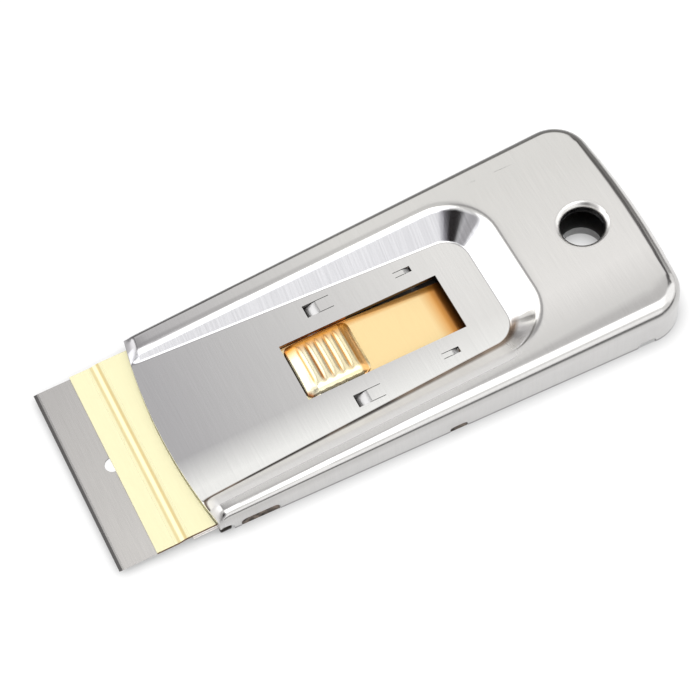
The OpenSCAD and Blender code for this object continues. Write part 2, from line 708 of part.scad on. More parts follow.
handle_shell();
back_plate();
blade_carrier();
thumb_pad();
blade_clamp();
carrier_rivets();
razor_blade();
blade_spine();
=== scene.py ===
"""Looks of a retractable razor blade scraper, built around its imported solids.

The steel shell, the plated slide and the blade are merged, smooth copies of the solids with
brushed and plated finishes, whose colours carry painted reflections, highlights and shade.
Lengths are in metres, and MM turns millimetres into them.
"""

import math

import bpy
from mathutils import Matrix, Vector


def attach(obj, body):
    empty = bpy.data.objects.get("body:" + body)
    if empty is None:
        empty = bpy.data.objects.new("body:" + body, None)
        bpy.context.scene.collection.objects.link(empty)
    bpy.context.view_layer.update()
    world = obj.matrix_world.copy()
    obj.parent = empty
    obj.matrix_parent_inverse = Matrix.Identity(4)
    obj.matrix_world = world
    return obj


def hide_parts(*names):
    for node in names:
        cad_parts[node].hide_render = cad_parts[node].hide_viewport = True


MM = 0.001
FRAME_PX = 700

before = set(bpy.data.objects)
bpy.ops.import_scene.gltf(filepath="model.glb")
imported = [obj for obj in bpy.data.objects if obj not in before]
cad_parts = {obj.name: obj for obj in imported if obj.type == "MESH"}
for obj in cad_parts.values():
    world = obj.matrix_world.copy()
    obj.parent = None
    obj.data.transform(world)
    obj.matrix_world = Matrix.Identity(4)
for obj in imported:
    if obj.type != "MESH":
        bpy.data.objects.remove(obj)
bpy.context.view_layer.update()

# Camera, fitted to the edges of the handle and the hang hole
CAMERA_AZIMUTH = -20.7
CAMERA_ELEVATION = 60.0
CAMERA_ROLL = -6.7
CAMERA_DISTANCE = 390.5 * MM
CAMERA_FOCAL_PX = 2225.5
CAMERA_TARGET = Vector((-2.07, 0.03, 3.0)) * MM
SENSOR_WIDTH = 36.0

# The studio, as directions from the object: +Y is behind it and +X is to its right. Each patch
# has its light, the softness of its edge and its span of directions.
STUDIO_WHITE = (1.0, 0.995, 0.985)
STUDIO_PATCHES = (
    ((0.78, 0.775, 0.77), 0.12, {"Y": (0.0, 0.3), "Z": (0.7, 1.0)}),
    ((1.9, 1.9, 1.9), 0.06, {"X": (-0.3, 0.7), "Y": (-0.68, -0.1), "Z": (0.55, 1.0)}),
    ((1.4, 1.4, 1.4), 0.05, {"X": (-0.3, 0.7), "Y": (-1.0, -0.85), "Z": (0.2, 0.49)}),
    ((1.5, 1.5, 1.5), 0.14, {"X": (0.6, 0.95), "Y": (-0.5, 0.0), "Z": (0.25, 0.8)}),
    ((0.42, 0.415, 0.42), 0.08, {"X": (-0.22, -0.08), "Y": (0.1, 0.9), "Z": (0.3, 1.0)}),
    ((1.9, 1.9, 1.9), 0.06, {"X": (-1.0, -0.38), "Y": (0.12, 0.9), "Z": (0.04, 0.84)}),
    ((0.45, 0.44, 0.44), 0.15, {"X": (-1.0, -0.78), "Y": (-0.2, 0.0), "Z": (0.2, 0.8)}),
    ((0.45, 0.44, 0.46), 0.18, {"X": (-0.5, -0.3), "Y": (-0.85, -0.6), "Z": (0.4, 0.75)}),
    ((0.015, 0.012, 0.012), 0.26, {"X": (-0.68, -0.5), "Y": (-0.62, -0.44), "Z": (0.4, 0.75)}),
    ((0.06, 0.055, 0.05), 0.07, {"X": (-0.64, -0.45), "Y": (0.72, 1.0), "Z": (-0.05, 0.12)}),
    ((0.12, 0.115, 0.115), 0.1, {"X": (0.66, 0.8), "Y": (0.15, 0.7), "Z": (0.25, 0.75)}),
    ((0.22, 0.215, 0.21), 0.1, {"X": (-0.3, 1.0), "Y": (0.4, 1.0), "Z": (-1.0, 0.26)}),
    ((0.06, 0.055, 0.06), 0.08, {"Y": (-1.0, -0.5), "Z": (-1.0, 0.03)}),
)
FLOOR_WHITE = (0.93, 0.93, 0.93)
FLOOR_IN_FRONT = (0.82, 0.82, 0.82)
FLOOR_BEYOND = (0.2, 0.2, 0.2)
FLOOR_BEHIND = (0.22, 0.22, 0.22)
FLOOR_SEEN = (0.3, 0.3, 0.3)
FLOOR_GLOW = 0.72
FLOOR_SHADED = 0.36
HOLE_GLOW = 0.6
UNDER_BLADE_HOLE = {"X": (-50 * MM, -45.5 * MM), "Y": (-1.5 * MM, 3 * MM)}
FLOOR_SIZE = 6
FLOOR_DROP = -0.02 * MM
FLOOR_BEHIND_SPAN = (20 * MM, 45 * MM)
FLOOR_BEYOND_SPAN = (-62 * MM, -36 * MM)
CONTACT_REACH = 3.0 * MM
CONTACT_RANGE = (0.45, 0.95)
LAMP_PLACE = (0.1, -0.3, 0.8)
LAMP_SIZE = 0.5
LAMP_WATTS = 0.6

# Places on the part, in millimetres
EDGE_X = -55.0
JOG_FOOT = -43.85
JOG_TOP = -42.65
PAD_FRONT = -12.85
PAD_END = -0.25
PAD_FOOT = 3.14
PAD_SLOPE = 2.2
RIB_PITCH = 1.74
RIB_HEIGHT = 0.35
SPINE_FOOT = 0.9
SPINE_HALF = 19.0
SPINE_SEEN_HALF = 19.28
RECESS_FLOOR_Z = 3.99
TOP_SLOPE = 0.0492
TOP_AT_0 = 7.2
HANG_X = 44.3
SHELL_FRONT = -36.7
SHELL_BACK = 55.0
SKIRT_FRONT_HALF = 20.2
SKIRT_BACK_HALF = 22.6
RECESS_HALF = 17.2
RECESS_END = 31.2
SHEARED_TOP = 4.05
WINDOW_HALF = 6.5
WINDOW_ENDS = (-14, 18.5)
TAB_SIDES = (7, 13)
TAB_ENDS = (-12, 18.5)
LAND_DEPTH = 0.14
LAND_SIDES = (16.4, 18.9)
RIBS_FADE = (3.2, 4.6)
CORNER_EAR_SIZE = Vector((2.2, 0.8, 1.1))
CORNER_EAR_X = -35.7
CORNER_EAR_Y = 19.7
CORNER_EAR_Z = 0.6
CORNER_EAR_ROUND = 0.3
SHELL_SLICES = range(-32, 53, 4)

# Widths that the copies' edges and faces are mended to
SHARP_EDGE = 0.06 * MM
MERGE_GAP = 0.001 * MM
SLIVER_GAP = 0.14 * MM
FLAT_ANGLE = math.radians(0.3)
SHEAR_LINES = 4000.0

# Colours of the finishes, many of them painted reflections, highlights and shade
# The shell's top and rail tones are a painted reflection: lighter near, darker far and at the far
# rail's front
TOP_NEAR = (0.83, 0.815, 0.8)
TOP_FAR = (0.73, 0.72, 0.7)
RAIL_FRONT = (0.4, 0.39, 0.41)
RAIL_NEAR = (0.63, 0.62, 0.61)
# The cool far wall and warm near wall tints are painted reflections
WALL_TINT = (0.8, 0.8, 0.83)
WALL_STREAK = (0.73, 0.73, 0.76)
NEAR_WALL = (0.82, 0.8, 0.765)
# The recess floor's tones are painted reflection and shade: darker at the front, paler on the near side
RECESS_FRONT_TINT = (0.45, 0.445, 0.455)
RECESS_BACK_TINT = (0.8, 0.79, 0.775)
RECESS_NEAR_TINT = (0.9, 0.9, 0.885)
# Painted shade on the lowered tabs
TAB_SHADE = (0.62, 0.615, 0.615)
SKIRT_TINT = (0.76, 0.752, 0.745)
# Painted contact shadow at the bottom rim
RIM_CONTACT_SHADE = (0.3, 0.29, 0.3)
# Painted shade along the near wall's foot, dark and brownish by turns
FOOT_SHADE = (0.05, 0.04, 0.035)
FOOT_BROWN_SHADE = (0.3, 0.22, 0.16)
HANG_SHADE = (0.05, 0.05, 0.05)
# The yellow tones carry painted light and shade: the pale lip, the amber tongue, the jog's bend lines
# and the shaded golds
LIP_GOLD = (1.0, 0.95, 0.62)
JOG_GOLD = (0.84, 0.72, 0.39)
JOG_TAN = (0.79, 0.64, 0.31)
TONGUE_GOLD = (1.0, 0.76, 0.39)
# The pad's paler front is a painted highlight
PAD_CREAM = (1.0, 0.93, 0.68)
PAD_GOLD = (1.0, 0.82, 0.45)
# Painted shade and shadow on the yellow pieces, from light to deepest
SHADED_GOLD = (0.78, 0.33, 0.045)
DEEP_SHADED_GOLD = (0.36, 0.12, 0.02)
GOLD_IN_SHADOW = (0.05, 0.02, 0.008)
CUT_GOLD = (0.2, 0.1, 0.045)
# The blade's near and far tones are a painted reflection
BLADE_NEAR = (0.72, 0.7, 0.68)
BLADE_FAR = (0.57, 0.555, 0.545)
BEVEL_TINT = (0.2, 0.195, 0.19)
PLATE_TINT = (0.6, 0.6, 0.6)
# Painted shade on the plate's ears in the skirt's notches, and under the spine's fold
DARK_SHADE = (0.035, 0.03, 0.026)
EAR_BROWN_SHADE = (0.24, 0.19, 0.155)
# A pale painted sheen on the spine's ends
SPINE_END = (0.95, 0.9, 0.87)
SPINE_TINT = (0.85, 0.83, 0.8)
# Painted shade on the window's walls, with a gold reflection beside the pad
WINDOW_SHADE = (0.06, 0.05, 0.04)
WINDOW_GOLD_SHADE = (0.3, 0.14, 0.045)
TAB_EDGE = (0.4, 0.39, 0.38)
FRONT_EDGE = (0.9, 0.89, 0.87)


def make_camera():
    """A camera at the photograph's angle, turned a little about its own axis."""
    az = math.radians(CAMERA_AZIMUTH)
    el = math.radians(CAMERA_ELEVATION)
    roll = math.radians(CAMERA_ROLL)
    ahead = Vector((-math.sin(az) * math.cos(el), math.cos(az) * math.cos(el), -math.sin(el)))
    level_right = Vector((math.cos(az), math.sin(az), 0))
    level_up = level_right.cross(ahead)
    right = level_right * math.cos(roll) + level_up * math.sin(roll)
    up = level_up * math.cos(roll) - level_right * math.sin(roll)
    turn = Matrix((right, up, -ahead)).transposed().to_4x4()
    bpy.ops.object.camera_add(location=(0, 0, 0))
    camera = bpy.context.active_object
    camera.name = "camera"
    camera.matrix_world = Matrix.Translation(CAMERA_TARGET - ahead * CAMERA_DISTANCE) @ turn
    camera.data.sensor_width = SENSOR_WIDTH
    camera.data.lens = CAMERA_FOCAL_PX * SENSOR_WIDTH / FRAME_PX
    camera.data.clip_start = 10 * MM
    camera.data.clip_end = 10
    bpy.context.scene.camera = camera


def new_material(name):
    """A material with an empty node tree, its output and its Principled shader."""
    material = bpy.data.materials.new(name)
    material.use_nodes = True
    tree = material.node_tree
    return material, tree, tree.nodes["Principled BSDF"]


def add_node(tree, kind, **values):
    """A node whose named inputs and properties are set."""
    node = tree.nodes.new(kind)
    for key, value in values.items():
        if key in node.inputs:
            node.inputs[key].default_value = value
        else:
            setattr(node, key, value)
    return node


def brushing_group():
    """Fine grinding lines across the handle, and a slow stain."""
    tree = bpy.data.node_groups.new("brushing", "ShaderNodeTree")
    interface = tree.interface
    for name, value in (("Lines Per Metre", 2500.0), ("Stretch", 0.03), ("Stain Scale", 60.0)):
        socket = interface.new_socket(name, in_out="INPUT", socket_type="NodeSocketFloat")
        socket.default_value = value
    for name in ("Lines", "Stain"):
        interface.new_socket(name, in_out="OUTPUT", socket_type="NodeSocketFloat")
    links = tree.links
    inlet = tree.nodes.new("NodeGroupInput")
    outlet = tree.nodes.new("NodeGroupOutput")
    place = tree.nodes.new("ShaderNodeTexCoord")
    squeeze = add_node(tree, "ShaderNodeMapping")
    across = tree.nodes.new("ShaderNodeCombineXYZ")
    across.inputs["X"].default_value = 1.0
    links.new(inlet.outputs["Stretch"], across.inputs["Y"])
    links.new(inlet.outputs["Stretch"], across.inputs["Z"])
    links.new(across.outputs["Vector"], squeeze.inputs["Scale"])
    links.new(place.outputs["Object"], squeeze.inputs["Vector"])
    lines = add_node(tree, "ShaderNodeTexNoise", Detail=3.0, Roughness=0.65)
    links.new(squeeze.outputs["Vector"], lines.inputs["Vector"])
    links.new(inlet.outputs["Lines Per Metre"], lines.inputs["Scale"])
    stain = add_node(tree, "ShaderNodeTexNoise", Detail=4.0, Roughness=0.55)
    links.new(place.outputs["Object"], stain.inputs["Vector"])
    links.new(inlet.outputs["Stain Scale"], stain.inputs["Scale"])
    links.new(lines.outputs["Fac"], outlet.inputs["Lines"])
    links.new(stain.outputs["Fac"], outlet.inputs["Stain"])
    return tree


def ranged(tree, source, low, high, to_low, to_high):
    """Maps a value from one range to another, held at its ends."""
    node = tree.nodes.new("ShaderNodeMapRange")
    node.inputs["From Min"].default_value = low
    node.inputs["From Max"].default_value = high
    node.inputs["To Min"].default_value = to_low
    node.inputs["To Max"].default_value = to_high
    tree.links.new(source, node.inputs["Value"])
    return node.outputs["Result"]


def mixed(tree, factor, first, second, blend="MIX"):
    """A colour between two others, or one laid over another."""
    node = tree.nodes.new("ShaderNodeMix")
    node.data_type = "RGBA"
    node.blend_type = blend
    sockets = {s.identifier: s for s in node.inputs}
    for key, value in (("A_Color", first), ("B_Color", second)):
        if isinstance(value, tuple):
            sockets[key].default_value = (*value, 1)
        else:
            tree.links.new(value, sockets[key])
    if isinstance(factor, (int, float)):
        sockets["Factor_Float"].default_value = factor
    else:
        tree.links.new(factor, sockets["Factor_Float"])
    return next(s for s in node.outputs if s.identifier == "Result_Color")


def maths(tree, operation, first, second):
    """One sum of two values or sockets."""
    node = tree.nodes.new("ShaderNodeMath")
    node.operation = operation
    for socket, value in zip(node.inputs, (first, second)):
        if isinstance(value, (int, float)):
            socket.default_value = value
        else:
            tree.links.new(value, socket)
    return node.outputs[0]


def span(tree, source, low, high, soft):
    """1 between low and high, with soft ends outside them."""
    rise = ranged(tree, source, low - soft, low, 0.0, 1.0)
    fall = ranged(tree, source, high, high + soft, 1.0, 0.0)
    rise.node.interpolation_type = "SMOOTHSTEP"
    fall.node.interpolation_type = "SMOOTHSTEP"
    return maths(tree, "MULTIPLY", rise, fall)


def box_mask(tree, axes, spans, soft):
    """1 inside a box given as a low and a high end for each axis it limits."""
    mask = None
    for axis, (low, high) in spans.items():
        one = span(tree, axes.outputs[axis], low, high, soft)
        mask = one if mask is None else maths(tree, "MULTIPLY", mask, one)
    return mask


def place_mm(tree):
    """The place on the part in millimetres, as three values."""
    place = tree.nodes.new("ShaderNodeTexCoord")
    scale = tree.nodes.new("ShaderNodeVectorMath")
    scale.operation = "SCALE"
    scale.inputs["Scale"].default_value = 1 / MM
    tree.links.new(place.outputs["Object"], scale.inputs[0])
    axes = tree.nodes.new("ShaderNodeSeparateXYZ")
    tree.links.new(scale.outputs["Vector"], axes.inputs["Vector"])
    return axes


def brushed(tree, shader, colour, lines, stretch, depth, relief):
    """Lays grinding lines over a colour, and gives the shader their relief."""
    brushing = tree.nodes.new("ShaderNodeGroup")
    brushing.node_tree = BRUSHING
    brushing.inputs["Lines Per Metre"].default_value = lines
    brushing.inputs["Stretch"].default_value = stretch
    level = ranged(tree, brushing.outputs["Lines"], 0.3, 0.7, 1.0 - depth, 1.0)
    grey = tree.nodes.new("ShaderNodeCombineXYZ")
    for axis in ("X", "Y", "Z"):
        tree.links.new(level, grey.inputs[axis])
    colour = mixed(tree, 1.0, colour, grey.outputs["Vector"], "MULTIPLY")
    tree.links.new(colour, shader.inputs["Base Color"])
    bump = tree.nodes.new("ShaderNodeBump")
    bump.inputs["Strength"].default_value = relief
    bump.inputs["Distance"].default_value = 0.02 * MM
    tree.links.new(brushing.outputs["Lines"], bump.inputs["Height"])
    tree.links.new(bump.outputs["Normal"], shader.inputs["Normal"])
    shader.inputs["Metallic"].default_value = 1.0
    return brushing


def roughened(tree, shader, brushing, low, high):
    """Lets the slow stain change how rough the metal is."""
    spread = ranged(tree, brushing.outputs["Stain"], 0.3, 0.7, low, high)
    tree.links.new(spread, shader.inputs["Roughness"])


def sheared_metal(name, colour, rough=(0.4, 0.5), depth=0.3, metallic=1.0):
    """A sheared edge of one colour, with even grinding marks and a stain."""
    material, tree, shader = new_material(name)
    brushing = brushed(tree, shader, colour, SHEAR_LINES, 1.0, depth, 0.1)
    roughened(tree, shader, brushing, *rough)
    shader.inputs["Metallic"].default_value = metallic
    return material


def shell_finish():
    """Plated steel whose colour carries painted reflections and shade: bright rails, tones across the
    top, a cool far wall, a warm near wall, a recess floor darker in front, and painted shade along the
    near wall's foot, the bottom rim and the tabs.
    """
    material, tree, shader = new_material("brushed_shell_steel")
    axes = place_mm(tree)
    x, y, z = (axes.outputs[name] for name in ("X", "Y", "Z"))
    wide = maths(tree, "ABSOLUTE", y, 0.0)
    below_top = maths(tree, "SUBTRACT", z, maths(tree, "MULTIPLY", x, TOP_SLOPE))
    above_floor = maths(tree, "SUBTRACT", z, RECESS_FLOOR_Z)
    inside = maths(tree, "MULTIPLY", span(tree, wide, -1.0, RECESS_HALF, 0.3),
                   span(tree, x, EDGE_X - 5.0, RECESS_END, 0.3))
    wall = ranged(tree, below_top, TOP_AT_0 - 0.7, TOP_AT_0 - 0.2, 1.0, 0.0)
    wall = maths(tree, "MULTIPLY", inside, wall)
    floor = maths(tree, "MULTIPLY", inside, ranged(tree, above_floor, 0.02, 0.12, 1.0, 0.0))
    near = ranged(tree, y, -10.0, -8.0, 1.0, 0.0)
    far = ranged(tree, y, 8.0, 12.0, 0.0, 1.0)

    # Painted reflection: the top lighter on the near side, darker on the far side and at the far rail's
    # front, and the near rail darker towards its outer edge
    top_colour = mixed(tree, ranged(tree, y, -12.0, 14.0, 0.0, 1.0), TOP_NEAR, TOP_FAR)
    rail_front = maths(tree, "MULTIPLY", far, ranged(tree, x, -40.0, 5.0, 0.85, 0.0))
    top_colour = mixed(tree, rail_front, top_colour, RAIL_FRONT)
    top_colour = mixed(tree, ranged(tree, y, -19.3, -9.5, 1.0, 0.0), top_colour, RAIL_NEAR)
    # Painted reflections: a cool tint with grinding streaks on the far wall, a warm tint on the near
    # wall
    streak = tree.nodes.new("ShaderNodeGroup")
    streak.node_tree = BRUSHING
    streak.inputs["Lines Per Metre"].default_value = 2600.0
    streak.inputs["Stretch"].default_value = 0.02
    streaked = ranged(tree, streak.outputs["Lines"], 0.4, 0.62, 0.0, 1.0)
    far_wall = mixed(tree, streaked, WALL_STREAK, WALL_TINT)
    wall_colour = mixed(tree, near, far_wall, NEAR_WALL)
    # Painted reflection and shade: the recess floor darker towards the front and paler on the near side
    towards_back = ranged(tree, x, -36.0, 20.0, 0.0, 1.0)
    floor_colour = mixed(tree, towards_back, RECESS_FRONT_TINT, RECESS_BACK_TINT)
    floor_colour = mixed(tree, ranged(tree, y, -12.5, -6.0, 1.0, 0.0), floor_colour, RECESS_NEAR_TINT)
    colour = mixed(tree, wall, top_colour, wall_colour)
    colour = mixed(tree, floor, colour, floor_colour)

    skirt = maths(tree, "SUBTRACT", 1.0, inside)
    low_down = ranged(tree, below_top, TOP_AT_0 - 3.0, TOP_AT_0 - 1.5, 1.0, 0.0)
    skirt = maths(tree, "MULTIPLY", skirt, low_down)
    colour = mixed(tree, skirt, colour, SKIRT_TINT)
    # Painted contact shadow along the bottom rim
    colour = mixed(tree, ranged(tree, z, 0.2, 0.5, 1.0, 0.0), colour, RIM_CONTACT_SHADE)

    # Painted shade along the foot of the near wall, taller towards the back and uneven in tone
    foot_height = ranged(tree, x, -35.0, 18.0, 0.4, 1.5)
    foot = maths(tree, "DIVIDE", above_floor, foot_height)
    foot = maths(tree, "MULTIPLY", ranged(tree, foot, 0.45, 1.0, 1.0, 0.0),
                 ranged(tree, above_floor, 0.0, 0.05, 0.0, 1.0))
    foot = maths(tree, "MULTIPLY", foot, maths(tree, "MULTIPLY", near, inside))
    uneven_shade = ranged(tree, streak.outputs["Stain"], 0.5, 0.64, 0.0, 1.0)
    foot_shade = mixed(tree, uneven_shade, FOOT_SHADE, FOOT_BROWN_SHADE)
    colour = mixed(tree, foot, colour, foot_shade)

    from_hang = maths(tree, "SUBTRACT", x, HANG_X)
    from_hang = maths(tree, "ADD", maths(tree, "POWER", from_hang, 2.0), maths(tree, "POWER", y, 2.0))
    from_hang = maths(tree, "SQRT", from_hang, 0.0)
    hang_lip = span(tree, from_hang, 3.9, 4.95, 0.2)
    collar = maths(tree, "MULTIPLY", ranged(tree, from_hang, 4.05, 4.15, 1.0, 0.0),
                   ranged(tree, below_top, TOP_AT_0 - 1.2, TOP_AT_0 - 0.8, 1.0, 0.0))
    colour = mixed(tree, collar, colour, HANG_SHADE)
    # Painted shade on the lowered tabs
    tab = maths(tree, "MULTIPLY", span(tree, wide, 7.0, 12.5, 0.2),
                ranged(tree, above_floor, -0.15, -0.04, 1.0, 0.0))
    colour = mixed(tree, maths(tree, "MULTIPLY", tab, inside), colour, TAB_SHADE)

    brushing = brushed(tree, shader, colour, 6000.0, 0.02, 0.06, 0.04)
    rough = ranged(tree, brushing.outputs["Stain"], 0.3, 0.7, 0.13, 0.17)
    near_wall = maths(tree, "MULTIPLY", near, ranged(tree, y, -18.0, -17.4, 0.0, 1.0))
    near_wall = maths(tree, "MULTIPLY", near_wall, ranged(tree, above_floor, 0.02, 0.12, 0.0, 1.0))
    near_wall = maths(tree, "MULTIPLY", near_wall, ranged(tree, x, 20.0, 24.0, 1.0, 0.0))
    tree.links.new(ranged(tree, near_wall, 0.0, 1.0, 1.0, 0.25), shader.inputs["Metallic"])
    rail_end = maths(tree, "MULTIPLY", span(tree, wide, 15.8, 30.0, 0.3),
                     ranged(tree, x, -36.4, -35.2, 1.0, 0.0))
    for mask, more in ((near_wall, 0.2), (hang_lip, 0.16), (tab, 0.25), (rail_end, 0.3)):
        rough = maths(tree, "ADD", rough, maths(tree, "MULTIPLY", mask, more))
    tree.links.new(rough, shader.inputs["Roughness"])
    return material


def carrier_finish():
    """Yellow plating with painted light and shade: pale in front, amber on the tongue, painted shade
    lines at the jog's bends, and painted shadow darkening towards the window's far edge and back end.
    """
    material, tree, shader = new_material("yellow_plating")
    axes = place_mm(tree)
    x, y = axes.outputs["X"], axes.outputs["Y"]
    on_tongue = ranged(tree, x, -14.0, -8.0, 0.0, 1.0)
    jog = span(tree, x, JOG_FOOT - 0.6, JOG_TOP + 0.6, 0.3)
    # Painted light and shade: pale on the lip, amber on the tongue inside the window
    colour = mixed(tree, on_tongue, LIP_GOLD, TONGUE_GOLD)
    # Painted shade lines at the jog's two bends
    for bend, tint in ((JOG_FOOT, JOG_GOLD), (JOG_TOP, JOG_TAN)):
        colour = mixed(tree, span(tree, x, bend - 0.12, bend + 0.12, 0.3), colour, tint)
    # Painted shadow: darker towards the window's far edge, and deeper where the tongue runs under its
    # back end
    far_edge = maths(tree, "MULTIPLY", on_tongue, ranged(tree, y, 4.3, 5.3, 0.0, 0.8))
    colour = mixed(tree, far_edge, colour, SHADED_GOLD)
    colour = mixed(tree, ranged(tree, x, 13.6, 16.2, 0.0, 0.9), colour, SHADED_GOLD)
    colour = mixed(tree, ranged(tree, x, 15.6, 17.4, 0.0, 1.0), colour, DEEP_SHADED_GOLD)
    colour = mixed(tree, ranged(tree, x, 17.0, 18.5, 0.0, 1.0), colour, GOLD_IN_SHADOW)
    brushed(tree, shader, colour, 5000.0, 0.05, 0.04, 0.02)
    shader.inputs["Metallic"].default_value = 0.6
    rough = maths(tree, "ADD", maths(tree, "MULTIPLY", jog, 0.3), 0.15)
    tree.links.new(rough, shader.inputs["Roughness"])
    return material


def pad_finish():
    """Yellow plating with painted light and shade: paler at the front, painted shade in the grooves, at
    the pad's far edge, in its front corners, on its back slope and at its front foot.
    """
    material, tree, shader = new_material("ribbed_plating")
    axes = place_mm(tree)
    x, y = axes.outputs["X"], axes.outputs["Y"]
    along = maths(tree, "SUBTRACT", x, PAD_FRONT + PAD_SLOPE)
    across = maths(tree, "ABSOLUTE", y, 0.0)
    # Painted highlight: paler towards the pad's front
    colour = mixed(tree, ranged(tree, along, 0.0, 9.0, 0.0, 0.7), PAD_CREAM, PAD_GOLD)
    # Painted shade in the grooves between the ribs, deepest in the second groove
    groove = maths(tree, "PINGPONG", along, RIB_PITCH / 2)
    groove = maths(tree, "MULTIPLY", ranged(tree, groove, 0.0, 0.35, 0.95, 0.0),
                   span(tree, along, -0.2, 8.9, 0.1))
    groove = maths(tree, "MULTIPLY", groove, ranged(tree, across, 3.2, 4.4, 1.0, 0.0))
    colour = mixed(tree, groove, colour, SHADED_GOLD)
    second = span(tree, along, RIB_PITCH - 0.4, RIB_PITCH + 0.4, 0.1)
    colour = mixed(tree, maths(tree, "MULTIPLY", groove, second), colour, DEEP_SHADED_GOLD)
    # Painted shade along the far side
    colour = mixed(tree, ranged(tree, y, 2.2, 4.4, 0.0, 1.0), colour, SHADED_GOLD)
    # Painted shade on the back slope
    back = span(tree, x, PAD_END - 1.5, PAD_END - 0.7, 0.5)
    colour = mixed(tree, maths(tree, "MULTIPLY", back, 0.75), colour, SHADED_GOLD)
    # Painted shade in the front corners
    corner = maths(tree, "SUBTRACT", across, x)
    colour = mixed(tree, ranged(tree, corner, 16.4, 17.3, 0.0, 0.95), colour, DEEP_SHADED_GOLD)
    # Painted shadow at the front foot
    front_foot = ranged(tree, x, PAD_FRONT + 0.1, PAD_FRONT + 0.25, 0.9, 0.0)
    colour = mixed(tree, front_foot, colour, GOLD_IN_SHADOW)
    brushed(tree, shader, colour, 5000.0, 0.05, 0.03, 0.01)
    shader.inputs["Metallic"].default_value = 0.65
    shader.inputs["Roughness"].default_value = 0.2
    return material


def blade_finish():
    """Ground steel, lighter on the near side and darker on the far side as a painted reflection, with a
    darker bevel along the cutting edge.
    """
    material, tree, shader = new_material("ground_blade_steel")
    axes = place_mm(tree)
    x, y = axes.outputs["X"], axes.outputs["Y"]
    # Painted reflection: lighter on the near side, darker on the far side
    colour = mixed(tree, ranged(tree, y, -18.0, 18.0, 0.0, 1.0), BLADE_NEAR, BLADE_FAR)
    bevel = ranged(tree, x, EDGE_X + 0.5, EDGE_X + 0.65, 1.0, 0.0)
    colour = mixed(tree, bevel, colour, BEVEL_TINT)
    brushing = brushed(tree, shader, colour, 7000.0, 0.02, 0.07, 0.03)
    roughened(tree, shader, brushing, 0.22, 0.28)
    return material


def plate_finish():
    """Plain plated steel, with painted shade on the ears where the plate shows in the skirt: uneven and
    brownish, and dark at the front.
    """
    material, tree, shader = new_material("plain_plate_steel")
    axes = place_mm(tree)
    x, y = axes.outputs["X"], axes.outputs["Y"]
    skirt_line = ranged(tree, x, SHELL_FRONT, SHELL_BACK, SKIRT_FRONT_HALF, SKIRT_BACK_HALF)
    outward = maths(tree, "SUBTRACT", maths(tree, "ABSOLUTE", y, 0.0), skirt_line)
    ear = maths(tree, "MULTIPLY", ranged(tree, outward, -0.8, -0.7, 0.0, 1.0),
                ranged(tree, x, 38.0, 42.0, 1.0, 0.0))
    # Painted shade on the ears: uneven and brownish, fully dark at the front
    stain = add_node(tree, "ShaderNodeTexNoise", Scale=900.0, Detail=3.0)
    place = tree.nodes.new("ShaderNodeTexCoord")
    tree.links.new(place.outputs["Object"], stain.inputs["Vector"])
    ear_shade = mixed(tree, ranged(tree, stain.outputs["Fac"], 0.4, 0.62, 0.0, 1.0), DARK_SHADE, EAR_BROWN_SHADE)
    ear_shade = mixed(tree, ranged(tree, x, -33.5, -32.0, 1.0, 0.0), ear_shade, DARK_SHADE)
    colour = mixed(tree, ear, PLATE_TINT, ear_shade)
    brushing = brushed(tree, shader, colour, 3000.0, 0.2, 0.1, 0.05)
    roughened(tree, shader, brushing, 0.28, 0.36)
    return material


def spine_finish():
    """Rolled steel with a painted shadow line under the fold."""
    material, tree, shader = new_material("rolled_spine_steel")
    axes = place_mm(tree)
    # Painted shadow along the foot of the spine, under the fold
    under = ranged(tree, axes.outputs["Z"], SPINE_FOOT + 0.15, SPINE_FOOT + 0.3, 1.0, 0.0)
    colour = mixed(tree, under, SPINE_TINT, DARK_SHADE)
    brushing = brushed(tree, shader, colour, 3000.0, 0.3, 0.05, 0.03)
    roughened(tree, shader, brushing, 0.3, 0.35)
    return material


def delete_faces(mesh, is_waste):
    """Delete the faces that the test picks."""
    bpy.ops.object.mode_set(mode="EDIT")
    bpy.ops.mesh.select_mode(type="FACE")
    bpy.ops.mesh.select_all(action="DESELECT")
    bpy.ops.object.mode_set(mode="OBJECT")
    for face in mesh.polygons:
        face.select = is_waste(face)
    bpy.ops.object.mode_set(mode="EDIT")
    bpy.ops.mesh.delete(type="FACE")
    bpy.ops.mesh.select_mode(type="VERT")
    bpy.ops.object.mode_set(mode="OBJECT")


def close_slivers(mesh, unbroken):
    """Merge the points of sliver faces on an unbroken surface, and delete the flaps that are left."""
    bpy.ops.object.mode_set(mode="EDIT")
    bpy.ops.mesh.select_mode(type="VERT")
    bpy.ops.mesh.select_all(action="DESELECT")
    bpy.ops.object.mode_set(mode="OBJECT")
    for point in mesh.vertices:
        point.select = unbroken(point.co / MM)
    bpy.ops.object.mode_set(mode="EDIT")
    bpy.ops.mesh.remove_doubles(threshold=SLIVER_GAP)
    bpy.ops.object.mode_set(mode="OBJECT")
    delete_faces(mesh, lambda face: face.normal.z < 0.3 and unbroken(face.center / MM))
    uses = {}
    for face in mesh.polygons:
        for key in face.edge_keys:
            uses[key] = uses.get(key, 0) + 1

    def is_flap(face):
        shared = [uses[key] for key in face.edge_keys]
        return min(shared) == 1 and max(shared) > 2 and unbroken(face.center / MM)

    delete_faces(mesh, is_flap)


def weigh_edges(mesh, crease, unbroken):
    """Give the edges that are sharper than the crease the weight by which they are rounded off."""
    sides = {}
    for face in mesh.polygons:
        for key in face.edge_keys:
            sides.setdefault(key, []).append(face.normal)
    weights = mesh.attributes.new("bevel_weight_edge", "FLOAT", "EDGE")
    for bend in mesh.edges:
        normals = sides.get(bend.key, [])
        middle = (mesh.vertices[bend.key[0]].co + mesh.vertices[bend.key[1]].co) / 2
        sharp = len(normals) == 2 and normals[0].angle(normals[1], 0.0) > crease
        if sharp and not unbroken(middle / MM):
            weights.data[bend.index].value = 1.0


